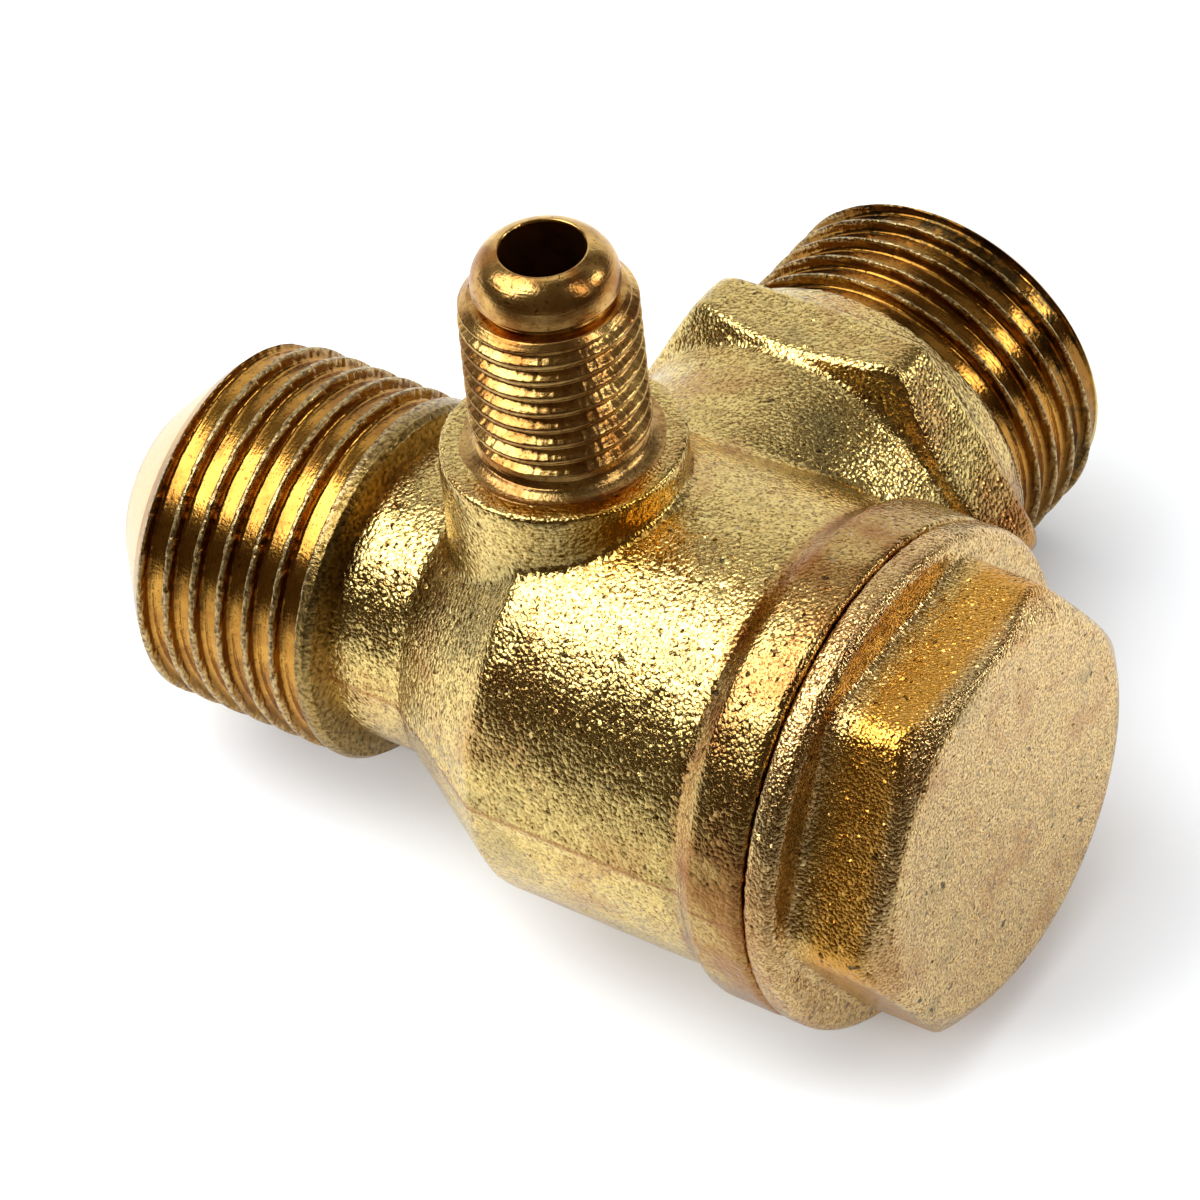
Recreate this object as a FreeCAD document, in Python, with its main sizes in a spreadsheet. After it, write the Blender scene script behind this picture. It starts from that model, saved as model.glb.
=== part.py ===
import FreeCAD, Part
import Sketcher
import os
import re

# A right-angle non-return valve for an air compressor, in millimetres. The inlet port's end face is at x = 0 and air
# enters along +X. The tank port leaves along +Y and the small unloader port along +Z.

doc = FreeCAD.newDocument("CheckValve")

SIZES = {
    # inlet port and barrel, along X from the inlet's end face
    "inlet_end_radius": 5.5,
    "inlet_cone_length": 3.7,
    "inlet_cone_radius": 9.6,
    "thread_lead_length": 0.9,
    "port_thread_radius": 10.4775,
    "inlet_shoulder_x": 16.5,
    "neck_radius": 8.75,
    "neck_length": 4.6,
    "neck_foot_round": 0.5,
    "cone_length": 8.0,
    "barrel_radius": 13.5,
    "collar_x": 42.7,
    "collar_chamfer_length": 1.2,
    "collar_radius": 14.4,
    "collar_face_x": 47.35,
    # tank port, along Y from the main axis
    "tank_x": 31.6,
    "branch_root_radius": 10.8,
    "branch_end_radius": 11.1,
    "tank_hex_y": 15.6,
    "tank_hex_length": 4.5,
    "tank_hex_flats": 23.2,
    "tank_hex_turn": 1.4,
    "tank_hex_round": 2.2,
    "hex_flare_slope": 1.0,
    "hex_chamfer_slope": 0.65,
    "shoulder_radius": 11.4,
    "shoulder_length": 2.2,
    "shoulder_end_radius": 10.65,
    "tank_thread_length": 8.5,
    "tank_lead_length": 0.9,
    "tank_end_radius": 9.6,
    # unloader port, along Z from the main axis
    "unloader_x": 27.7,
    "boss_start_z": 5.0,
    "boss_radius": 6.8,
    "boss_top_z": 15.5,
    "boss_edge_round": 0.35,
    "relief_round": 1.2,
    "stem_neck_radius": 4.45,
    "stem_neck_length": 1.4,
    "stem_thread_radius": 5.0,
    "stem_thread_length": 8.3,
    "stem_lead_length": 0.55,
    "nose_neck_radius": 3.55,
    "nose_neck_length": 0.6,
    "nose_radius": 4.05,
    "nose_length": 2.4,
    "nose_round": 1.6,
    # air passages, seat and chamber
    "inlet_bore_radius": 4.75,
    "seat_x": 31.5,
    "seat_lip_height": 0.8,
    "seat_lip_wall": 1.1,
    "chamber_radius": 9.5,
    "tank_bore_radius": 6.5,
    "tank_bore_floor_y": 8.6,
    "unloader_bore_radius": 2.3,
    "unloader_bore_floor_z": 10.5,
    "orifice_radius": 1.4,
    # hex cap
    "cap_thread_radius": 10.95,
    "thread_clearance": 0.05,
    "thread_run_out": 0.6,
    "cap_gap": 0.15,
    "flange_thickness": 1.85,
    "flange_edge": 0.4,
    "cap_hex_length": 5.8,
    "cap_hex_flats": 23.4,
    "cap_hex_turn": 4.5,
    "cap_hex_round": 2.6,
    "cap_end_radius": 11.3,
    "cap_chamfer_slope": 0.75,
    "cap_end_wall": 4.0,
    "guide_bore_radius": 6.0,
    # seal ring under the cap's flange
    "ring_wire_radius": 0.7,
    "ring_clearance": 0.05,
    "ring_seat_radius": 12.55,
    # piston and its seat disc
    "piston_lift": 4.0,
    "seal_gap": 0.02,
    "disc_radius": 7.0,
    "disc_thickness": 1.8,
    "disc_recess": 1.1,
    "disc_clearance": 0.03,
    "head_radius": 8.2,
    "head_length": 2.6,
    "piston_floor": 1.2,
    "guide_clearance": 0.08,
    "tail_length": 9.5,
    "tail_bore_radius": 4.75,
    "vent_radius": 0.9,
    "vent_offset": 3.0,
    # return spring
    "spring_wire_radius": 0.4,
    "spring_clearance": 0.25,
    "spring_turns": 6.0,
    "spring_end_gap": 0.05,
}

DERIVED = {
    "neck_end_x": "inlet_shoulder_x + neck_length",
    "cone_end_x": "neck_end_x + cone_length",
    "tank_hex_corner": "tank_hex_flats / 2 / cos(30 deg)",
    "cap_hex_corner": "cap_hex_flats / 2 / cos(30 deg)",
    "shoulder_y": "tank_hex_y + tank_hex_length",
    "tank_thread_y": "shoulder_y + shoulder_length",
    "tank_end_y": "tank_thread_y + tank_thread_length + tank_lead_length",
    "stem_thread_z": "boss_top_z + stem_neck_length",
    "nose_neck_z": "stem_thread_z + stem_thread_length + stem_lead_length",
    "nose_z": "nose_neck_z + nose_neck_length",
    "nose_top_z": "nose_z + nose_length",
    "disc_x": "seat_x + seal_gap",
    "head_x": "disc_x + disc_thickness - disc_recess",
    "tail_x": "head_x + head_length",
    "stop_x": "tail_x + piston_lift",
    "flange_x": "collar_face_x + cap_gap",
    "flange_front_x": "flange_x + flange_thickness",
    "cap_end_x": "flange_front_x + cap_hex_length",
    "guide_floor_x": "cap_end_x - cap_end_wall",
    "ring_recess_x": "flange_x - 2 * ring_wire_radius - 2 * ring_clearance",
    "ring_radius": "cap_thread_radius + ring_clearance + ring_wire_radius",
    "spring_start_x": "head_x + disc_recess + disc_clearance + piston_floor + spring_end_gap",
    "spring_radius": "tail_bore_radius - spring_clearance - spring_wire_radius",
}

NAMES = set(SIZES) | set(DERIVED)

sheet = doc.addObject("Spreadsheet::Sheet", "Sizes")
for row, (alias, number) in enumerate(SIZES.items(), start=1):
    sheet.set(f"A{row}", alias)
    sheet.set(f"B{row}", str(number))
    sheet.setAlias(f"B{row}", alias)
for row, (alias, formula) in enumerate(DERIVED.items(), start=1):
    sheet.set(f"C{row}", alias)
    sheet.set(f"D{row}", "=" + formula)
    sheet.setAlias(f"D{row}", alias)
doc.recompute()


def sized(text):
    """The expression with each size's name pointing at its cell."""
    return re.sub("[a-z_]+", lambda word: f"Sizes.{word[0]}" if word[0] in NAMES else word[0], text)


def value(text):
    return float(sheet.evalExpression(sized(text)))


def new_body(label):
    body = doc.addObject("PartDesign::Body", label)
    body.Label = label
    return body


def attach(feature, body, role):
    plane = next(item for item in body.Origin.OriginFeatures if item.Role == role)
    feature.AttachmentSupport = (plane, [""])
    feature.MapMode = "FlatFace"


def new_sketch(body, name, role, shift=None):
    sketch = body.newObject("Sketcher::SketchObject", name)
    attach(sketch, body, role)
    if shift:
        sketch.setExpression("AttachmentOffset.Base.x", sized(shift))
    return sketch


def pin_corner(sketch, line, across, along):
    """Holds a line's start at two sized distances from the sketch's axes."""
    for kind, axis, text in (("DistanceX", -2, across), ("DistanceY", -1, along)):
        if text == "0":
            sketch.addConstraint(Sketcher.Constraint("PointOnObject", line, 1, axis))
            continue
        index = sketch.addConstraint(Sketcher.Constraint(kind, -1, 1, line, 1, value(text)))
        sketch.setExpression(f"Constraints[{index}]", sized(text))


def draw_outline(sketch, corners):
    points = [FreeCAD.Vector(value(across), value(along), 0) for across, along in corners]
    count = len(points)
    for index in range(count):
        sketch.addGeometry(Part.LineSegment(points[index], points[(index + 1) % count]))
    for index in range(count):
        sketch.addConstraint(Sketcher.Constraint("Coincident", index, 2, (index + 1) % count, 1))
    for index, (across, along) in enumerate(corners):
        pin_corner(sketch, index, across, along)


def turned(body, name, role, axis, corners, cut=False, shift=None):
    """A full turn of an outline about one axis of its own sketch."""
    sketch = new_sketch(body, name + "Outline", role, shift)
    draw_outline(sketch, corners)
    feature = body.newObject("PartDesign::Groove" if cut else "PartDesign::Revolution", name)
    feature.Profile = sketch
    feature.ReferenceAxis = (sketch, [axis])
    feature.Angle = 360
    before = 0 if feature.BaseFeature is None else feature.BaseFeature.Shape.Volume
    doc.recompute()
    change = feature.Shape.Volume - before
    if (change >= 0) == cut:
        raise ValueError(f"{name} changes the volume by {change:.3f}")
    return feature


def prism(body, name, role, corner, length, turn, station):
    """A hexagonal prism across the named plane, its height along the plane's normal."""
    feature = body.newObject("PartDesign::AdditivePrism", name)
    attach(feature, body, role)
    feature.Polygon = 6
    feature.setExpression("Circumradius", sized(corner))
    feature.setExpression("Height", sized(length))
    feature.AttachmentOffset = FreeCAD.Placement(FreeCAD.Vector(), FreeCAD.Rotation(FreeCAD.Vector(0, 0, 1), 1))
    feature.setExpression("AttachmentOffset.Rotation.Angle", sized(turn))
    feature.setExpression("AttachmentOffset.Base.z", sized(station))
    doc.recompute()
    return feature


def rounded(body, name, base, radius, wanted):
    """A fillet on every edge of the last feature that passes a test."""
    names = [f"Edge{index}" for index, edge in enumerate(base.Shape.Edges, start=1) if wanted(edge)]
    if not names:
        raise ValueError(f"{name} finds no edge")
    feature = body.newObject("PartDesign::Fillet", name)
    feature.Base = (base, names)
    feature.setExpression("Radius", sized(radius))
    doc.recompute()
    return feature


def is_ring(edge, axis, station, radius):
    """True for a full circle about a line along the axis, at this station and of this radius."""
    curve = edge.Curve
    if curve.TypeId != "Part::GeomCircle" or edge.Length < 6.2 * radius:
        return False
    return abs(getattr(curve.Center, axis) - station) < 0.001 and abs(curve.Radius - radius) < 0.001


def is_corner(edge, axis, centre, radius):
    """True for a straight edge along the axis at this distance from a centre point's line."""
    if edge.Curve.TypeId != "Part::GeomLine":
        return False
    if abs(getattr(edge.tangentAt(edge.FirstParameter), axis)) < 0.999:
        return False
    offset = edge.CenterOfMass - centre
    setattr(offset, axis, 0)
    return abs(offset.Length - radius) < 0.01


def build_valve_body():
    """The forged body: inlet, barrel, tank branch with its spanner hexagon, and unloader boss, in one piece."""
    body = new_body("valve_body")
    turned(body, "TankBranch", "XY_Plane", "V_Axis", [
        ("0", "0"),
        ("branch_root_radius", "0"),
        ("branch_end_radius", "tank_hex_y"),
        ("shoulder_radius", "shoulder_y"),
        ("shoulder_end_radius", "tank_thread_y"),
        ("port_thread_radius", "tank_thread_y"),
        ("port_thread_radius", "tank_end_y - tank_lead_length"),
        ("tank_end_radius", "tank_end_y"),
        ("0", "tank_end_y"),
    ], shift="tank_x")
    hexagon = prism(body, "TankHexagon", "XZ_Plane", "tank_hex_corner", "tank_hex_length", "tank_hex_turn",
                    "-shoulder_y")
    hexagon.setExpression("AttachmentOffset.Base.x", sized("tank_x"))
    doc.recompute()
    centre = FreeCAD.Vector(value("tank_x"), 0, 0)
    rounded(body, "TankHexagonCorners", hexagon, "tank_hex_round",
            lambda edge: is_corner(edge, "y", centre, value("tank_hex_corner")))
    turned(body, "TankHexagonFlare", "XY_Plane", "V_Axis", [
        ("branch_end_radius", "tank_hex_y"),
        ("tank_hex_corner", "tank_hex_y"),
        ("tank_hex_corner", "tank_hex_y + (tank_hex_corner - branch_end_radius) * hex_flare_slope"),
    ], cut=True, shift="tank_x")
    turned(body, "TankHexagonChamfer", "XY_Plane", "V_Axis", [
        ("shoulder_radius", "shoulder_y"),
        ("tank_hex_corner", "shoulder_y"),
        ("tank_hex_corner", "shoulder_y - (tank_hex_corner - shoulder_radius) * hex_chamfer_slope"),
    ], cut=True, shift="tank_x")
    barrel = turned(body, "Barrel", "XY_Plane", "H_Axis", [
        ("0", "0"),
        ("0", "inlet_end_radius"),
        ("inlet_cone_length", "inlet_cone_radius"),
        ("inlet_cone_length + thread_lead_length", "port_thread_radius"),
        ("inlet_shoulder_x", "port_thread_radius"),
        ("inlet_shoulder_x", "neck_radius"),
        ("neck_end_x", "neck_radius"),
        ("cone_end_x", "barrel_radius"),
        ("collar_x", "barrel_radius"),
        ("collar_x + collar_chamfer_length", "collar_radius"),
        ("collar_face_x", "collar_radius"),
        ("collar_face_x", "0"),
    ])
    rounded(body, "NeckFoot", barrel, "neck_foot_round",
            lambda edge: is_ring(edge, "x", value("inlet_shoulder_x"), value("neck_radius")))
    boss = turned(body, "UnloaderBoss", "XZ_Plane", "V_Axis", [
        ("0", "boss_start_z"),
        ("boss_radius", "boss_start_z"),
        ("boss_radius", "boss_top_z"),
        ("stem_neck_radius", "boss_top_z"),
        ("stem_neck_radius", "stem_thread_z"),
        ("stem_thread_radius", "stem_thread_z"),
        ("stem_thread_radius", "nose_neck_z - stem_lead_length"),
        ("stem_neck_radius", "nose_neck_z"),
        ("nose_neck_radius", "nose_neck_z"),
        ("nose_neck_radius", "nose_z"),
        ("nose_radius", "nose_z"),
        ("nose_radius", "nose_top_z"),
        ("0", "nose_top_z"),
    ], shift="unloader_x")
    edge_round = rounded(body, "BossEdge", boss, "boss_edge_round",
                         lambda edge: is_ring(edge, "z", value("boss_top_z"), value("boss_radius")))
    relief = rounded(body, "StemRelief", edge_round, "relief_round",
                     lambda edge: is_ring(edge, "z", value("boss_top_z"), value("stem_neck_radius")))
    rounded(body, "Nose", relief, "nose_round",
            lambda edge: is_ring(edge, "z", value("nose_top_z"), value("nose_radius")))
    turned(body, "InletAndChamber", "XY_Plane", "H_Axis", [
        ("0", "0"),
        ("0", "inlet_bore_radius"),
        ("seat_x", "inlet_bore_radius"),
        ("seat_x", "inlet_bore_radius + seat_lip_wall"),
        ("seat_x - seat_lip_height", "inlet_bore_radius + seat_lip_wall"),
        ("seat_x - seat_lip_height", "chamber_radius"),
        ("stop_x - thread_run_out", "chamber_radius"),
        ("stop_x - thread_run_out", "cap_thread_radius + thread_clearance"),
        ("ring_recess_x", "cap_thread_radius + thread_clearance"),
        ("ring_recess_x", "ring_seat_radius"),
        ("collar_face_x", "ring_seat_radius"),
        ("collar_face_x", "0"),
    ], cut=True)
    turned(body, "TankBore", "XY_Plane", "V_Axis", [
        ("0", "tank_bore_floor_y"),
        ("tank_bore_radius", "tank_bore_floor_y"),
        ("tank_bore_radius", "tank_end_y"),
        ("0", "tank_end_y"),
    ], cut=True, shift="tank_x")
    turned(body, "UnloaderBore", "XZ_Plane", "V_Axis", [
        ("0", "0"),
        ("orifice_radius", "0"),
        ("orifice_radius", "unloader_bore_floor_z"),
        ("unloader_bore_radius", "unloader_bore_floor_z"),
        ("unloader_bore_radius", "nose_top_z"),
        ("0", "nose_top_z"),
    ], cut=True, shift="unloader_x")
    return body


def build_hex_cap():
    """The plug that closes the chamber, guides the piston's tail and holds the spring."""
    body = new_body("hex_cap")
    turned(body, "Flange", "XY_Plane", "H_Axis", [
        ("stop_x", "0"),
        ("stop_x", "cap_thread_radius - thread_run_out"),
        ("stop_x + thread_run_out", "cap_thread_radius"),
        ("flange_x", "cap_thread_radius"),
        ("flange_x", "collar_radius"),
        ("flange_front_x - flange_edge", "collar_radius"),
        ("flange_front_x", "collar_radius - flange_edge"),
        ("flange_front_x", "0"),
    ])
    hexagon = prism(body, "CapHexagon", "YZ_Plane", "cap_hex_corner", "cap_hex_length", "cap_hex_turn",
                    "flange_front_x")
    rounded(body, "CapHexagonCorners", hexagon, "cap_hex_round",
            lambda edge: is_corner(edge, "x", FreeCAD.Vector(), value("cap_hex_corner")))
    turned(body, "CapChamfer", "XY_Plane", "H_Axis", [
        ("cap_end_x", "cap_end_radius"),
        ("cap_end_x", "cap_hex_corner"),
        ("cap_end_x - (cap_hex_corner - cap_end_radius) * cap_chamfer_slope", "cap_hex_corner"),
    ], cut=True)
    turned(body, "GuideBore", "XY_Plane", "H_Axis", [
        ("stop_x", "0"),
        ("stop_x", "guide_bore_radius"),
        ("guide_floor_x", "guide_bore_radius"),
        ("guide_floor_x", "0"),
    ], cut=True)
    return body


def build_cap_seal_ring():
    """The rubber ring in the collar's recess, round the cap's thread and under its flange."""
    ring = doc.addObject("Part::Torus", "cap_seal_ring")
    ring.Label = "cap_seal_ring"
    ring.setExpression("Radius1", sized("ring_radius"))
    ring.setExpression("Radius2", sized("ring_wire_radius"))
    ring.Placement.Rotation = FreeCAD.Rotation(FreeCAD.Vector(0, 1, 0), 90)
    ring.setExpression("Placement.Base.x", sized("flange_x - ring_clearance - ring_wire_radius"))
    return ring


def build_seat_disc():
    """The rubber disc that closes on the seat's lip."""
    body = new_body("seat_disc")
    turned(body, "Disc", "XY_Plane", "H_Axis", [
        ("disc_x", "0"),
        ("disc_x", "disc_radius"),
        ("disc_x + disc_thickness", "disc_radius"),
        ("disc_x + disc_thickness", "0"),
    ])
    return body


def build_piston():
    """The brass piston: a head that holds the disc and a hollow tail that slides in the cap."""
    body = new_body("piston")
    turned(body, "HeadAndTail", "XY_Plane", "H_Axis", [
        ("head_x", "0"),
        ("head_x", "head_radius"),
        ("tail_x", "head_radius"),
        ("tail_x", "guide_bore_radius - guide_clearance"),
        ("tail_x + tail_length", "guide_bore_radius - guide_clearance"),
        ("tail_x + tail_length", "0"),
    ])
    turned(body, "DiscRecess", "XY_Plane", "H_Axis", [
        ("head_x", "0"),
        ("head_x", "disc_radius + disc_clearance"),
        ("head_x + disc_recess + disc_clearance", "disc_radius + disc_clearance"),
        ("head_x + disc_recess + disc_clearance", "0"),
    ], cut=True)
    turned(body, "SpringBore", "XY_Plane", "H_Axis", [
        ("spring_start_x - spring_end_gap", "0"),
        ("spring_start_x - spring_end_gap", "tail_bore_radius"),
        ("tail_x + tail_length", "tail_bore_radius"),
        ("tail_x + tail_length", "0"),
    ], cut=True)
    vent = new_sketch(body, "VentCircle", "XY_Plane", "tail_x + vent_offset")
    vent.addGeometry(Part.Circle(FreeCAD.Vector(), FreeCAD.Vector(0, 0, 1), value("vent_radius")))
    vent.addConstraint(Sketcher.Constraint("Coincident", 0, 3, -1, 1))
    radius = vent.addConstraint(Sketcher.Constraint("Radius", 0, value("vent_radius")))
    vent.setExpression(f"Constraints[{radius}]", sized("vent_radius"))
    holes = body.newObject("PartDesign::Pocket", "Vents")
    holes.Profile = vent
    holes.Midplane = True
    holes.setExpression("Length", sized("2 * guide_bore_radius"))
    doc.recompute()
    return body


def build_return_spring():
    """The stainless wire spring between the piston's floor and the cap's floor."""
    body = new_body("return_spring")
    wire = new_sketch(body, "WireSection", "XY_Plane", "spring_start_x + spring_wire_radius")
    wire.addGeometry(Part.Circle(FreeCAD.Vector(0, value("spring_radius"), 0), FreeCAD.Vector(0, 0, 1),
                                 value("spring_wire_radius")))
    wire.addConstraint(Sketcher.Constraint("PointOnObject", 0, 3, -2))
    radius = wire.addConstraint(Sketcher.Constraint("Radius", 0, value("spring_wire_radius")))
    wire.setExpression(f"Constraints[{radius}]", sized("spring_wire_radius"))
    centre = wire.addConstraint(Sketcher.Constraint("DistanceY", -1, 1, 0, 3, value("spring_radius")))
    wire.setExpression(f"Constraints[{centre}]", sized("spring_radius"))
    coil = body.newObject("PartDesign::AdditiveHelix", "Coil")
    coil.Profile = wire
    coil.ReferenceAxis = (wire, ["H_Axis"])
    coil.Mode = "height-turns-angle"
    coil.setExpression("Height", sized("guide_floor_x - spring_end_gap - spring_start_x - 2 * spring_wire_radius"))
    coil.setExpression("Turns", sized("spring_turns"))
    doc.recompute()
    return body


builders = (build_valve_body, build_hex_cap, build_cap_seal_ring, build_seat_disc, build_piston, build_return_spring)
parts = [build() for build in builders]
doc.recompute()

for item in doc.Objects:
    if "Invalid" in item.State or "Error" in item.State:
        raise ValueError(f"{item.Label} failed to build")
for part in parts:
    if part.Shape.isNull() or not part.Shape.isValid():
        raise ValueError(f"{part.Label} has no sound shape")

os.makedirs("parts", exist_ok=True)
for part in parts:
    part.Shape.exportStep(f"parts/{part.Label}.step")
    box = part.Shape.BoundBox
    print(f"{part.Label}: {part.Shape.Volume:.1f} mm3, x {box.XMin:.2f} to {box.XMax:.2f},",
          f"y {box.YMin:.2f} to {box.YMax:.2f}, z {box.ZMin:.2f} to {box.ZMax:.2f}")
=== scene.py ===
import bpy
import numpy as np
from mathutils import Matrix, Vector


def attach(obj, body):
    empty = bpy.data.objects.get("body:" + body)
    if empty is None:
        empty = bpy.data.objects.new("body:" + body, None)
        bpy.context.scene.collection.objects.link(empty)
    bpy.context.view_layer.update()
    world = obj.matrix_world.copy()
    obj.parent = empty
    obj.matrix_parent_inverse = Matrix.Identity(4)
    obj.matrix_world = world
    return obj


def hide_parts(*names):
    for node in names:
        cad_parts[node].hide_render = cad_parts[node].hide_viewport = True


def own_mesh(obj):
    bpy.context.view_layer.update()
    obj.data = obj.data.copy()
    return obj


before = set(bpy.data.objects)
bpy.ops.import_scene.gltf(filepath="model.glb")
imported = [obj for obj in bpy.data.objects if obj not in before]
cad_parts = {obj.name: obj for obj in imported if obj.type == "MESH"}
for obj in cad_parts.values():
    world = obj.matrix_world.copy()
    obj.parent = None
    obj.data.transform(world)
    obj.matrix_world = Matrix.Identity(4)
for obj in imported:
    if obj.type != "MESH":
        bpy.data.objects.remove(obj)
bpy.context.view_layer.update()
millimetre = 0.001
fullTurn = 2 * np.pi
tiny = 1e-9
beyond = 99  # mm, past the end of every bar


def smoothStep(low, high, value):
    # 0 below low, 1 above high, and the cubic 3t^2 - 2t^3 between
    t = np.clip((value - low) / (high - low), 0, 1)
    return t * t * (3 - 2 * t)


def signedVolume(points, faces):
    # sum of the cones from the origin to each face, times six
    a, b, c, d = (points[faces[:, i]] for i in range(4))
    return (np.einsum("ij,ij->i", a, np.cross(b, c)) + np.einsum("ij,ij->i", a, np.cross(c, d))).sum()


def addPiece(name, points, faces, node, slot, body, layers=None):
    # points are in millimetres; faces is one array of quads, turned here so that they look outward
    if signedVolume(points, faces) < 0:
        faces = faces[:, ::-1]
    mesh = bpy.data.meshes.new(name)
    mesh.vertices.add(len(points))
    mesh.vertices.foreach_set("co", (points * millimetre).astype(np.float32).ravel())
    mesh.loops.add(faces.size)
    mesh.loops.foreach_set("vertex_index", faces.astype(np.int32).ravel())
    mesh.polygons.add(len(faces))
    mesh.polygons.foreach_set("loop_start", np.arange(0, faces.size, 4, dtype=np.int32))
    mesh.update(calc_edges=True)
    mesh.polygons.foreach_set("use_smooth", np.ones(len(faces), bool))
    for layer, values in (layers or {}).items():
        mesh.attributes.new(layer, "FLOAT", "POINT").data.foreach_set("value", values.astype(np.float32).ravel())
    mesh.validate()
    piece = bpy.data.objects.new(name, mesh)
    bpy.context.scene.collection.objects.link(piece)
    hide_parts(node)
    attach(piece, body)
    print(name, len(points), "points")
    return piece


def ringFaces(rings, spokes):
    # quads of a grid closed both ways: rings along the profile, spokes round the axis
    ring, spoke = np.meshgrid(np.arange(rings), np.arange(spokes), indexing="ij")
    nextRing, nextSpoke = (ring + 1) % rings, (spoke + 1) % spokes
    return np.stack([ring * spokes + spoke, nextRing * spokes + spoke,
                     nextRing * spokes + nextSpoke, ring * spokes + nextSpoke], -1).reshape(-1, 4)


def alongProfile(corners, step):
    # points every step along a polyline of (station, radius) corners, corners kept
    corners = np.array(corners, float)
    pieces = []
    for start, end in zip(corners[:-1], corners[1:]):
        count = max(1, int(np.ceil(np.hypot(*(end - start)) / step)))
        pieces.append(start + (end - start) * np.arange(count)[:, None] / count)
    return np.vstack(pieces)


def arcCorners(centre, radius, startDegrees, endDegrees, count):
    # count points of a circle's arc in the (station, radius) plane
    turn = np.radians(np.linspace(startDegrees, endDegrees, count))
    return [(centre[0] + radius * c, centre[1] + radius * s) for c, s in zip(np.cos(turn), np.sin(turn))]


def polygonDistance(station, radius, corners):
    # signed distance to a closed outline in the half plane, mirrored in its axis so that the axis is no edge
    corners = np.array(corners, float)
    corners = np.vstack([corners, (corners * (1, -1))[::-1]])
    best = np.full(np.broadcast(station, radius).shape, np.inf)
    inside = np.zeros(best.shape, bool)
    for (x0, r0), (x1, r1) in zip(corners, np.roll(corners, -1, axis=0)):
        edgeX, edgeR = x1 - x0, r1 - r0
        length = edgeX * edgeX + edgeR * edgeR
        if length < tiny:
            continue
        if not (abs(r0) < tiny and abs(r1) < tiny):
            t = np.clip(((station - x0) * edgeX + (radius - r0) * edgeR) / length, 0, 1)
            best = np.minimum(best, (station - x0 - t * edgeX) ** 2 + (radius - r0 - t * edgeR) ** 2)
        if r0 != r1:
            crosses = (r0 > radius) != (r1 > radius)
            inside ^= crosses & (station < x0 + (radius - r0) * edgeX / edgeR)
    return np.sqrt(best) * np.where(inside, -1, 1)


def softUnion(a, b, crease):
    # the lower of two fields, with the crease between them filled over about its own width
    h = np.clip(0.5 + 0.5 * (b - a) / crease, 0, 1)
    return b * (1 - h) + a * h - crease * h * (1 - h)


def softCut(a, b, edge):
    # the higher of two fields, with the edge between them worn down over about its own width
    return -softUnion(-a, -b, edge)


def hexDistance(across, along, flats, turn, rounding):
    # distance to a hexagon with round corners: the point is folded into one sixth, measured to the side of a
    # smaller sharp hexagon, and the rounding is taken off
    cosine30, tangent30 = 0.8660254, 0.57735027
    angle, inner = np.radians(turn), flats / 2 - rounding
    px = np.abs(across * np.sin(angle) - along * np.cos(angle))
    py = np.abs(across * np.cos(angle) + along * np.sin(angle))
    fold = 2 * np.minimum(-cosine30 * px + 0.5 * py, 0)
    px, py = px + cosine30 * fold, py - 0.5 * fold
    px = px - np.clip(px, -tangent30 * inner, tangent30 * inner)
    return np.hypot(px, py - inner) * np.sign(py - inner) - rounding


def blurred(field, cells):
    # a Gaussian of that many cells along each axis
    reach = int(np.ceil(3 * cells))
    weights = np.exp(-0.5 * (np.arange(-reach, reach + 1) / cells) ** 2)
    weights /= weights.sum()
    for axis in range(3):
        padded = np.pad(field, [(reach, reach) if axis == other else (0, 0) for other in range(3)], mode="edge")
        count = field.shape[axis]
        field = sum(weight * np.take(padded, range(shift, shift + count), axis=axis)
                    for shift, weight in enumerate(weights))
    return field


def sampled(field, points):
    # trilinear value at points given in cells
    base = np.clip(np.floor(points).astype(int), 0, np.array(field.shape) - 2)
    share = points - base
    value = 0
    for corner in np.ndindex(2, 2, 2):
        weight = np.prod(np.where(corner, share, 1 - share), axis=1)
        value = value + weight * field[tuple((base + corner).T)]
    return value


def settled(points, field):
    # two steps down the field's slope bring each point onto the level
    farthest, flattest = 0.3, 1e-6  # cells moved in one step, and the least squared slope
    slopes = np.gradient(field)
    for _ in range(2):
        slope = np.stack([sampled(part, points) for part in slopes], -1)
        step = sampled(field, points) / np.maximum((slope ** 2).sum(1), flattest)
        points = points - np.clip(step[:, None] * slope, -farthest, farthest)
    return points


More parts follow.
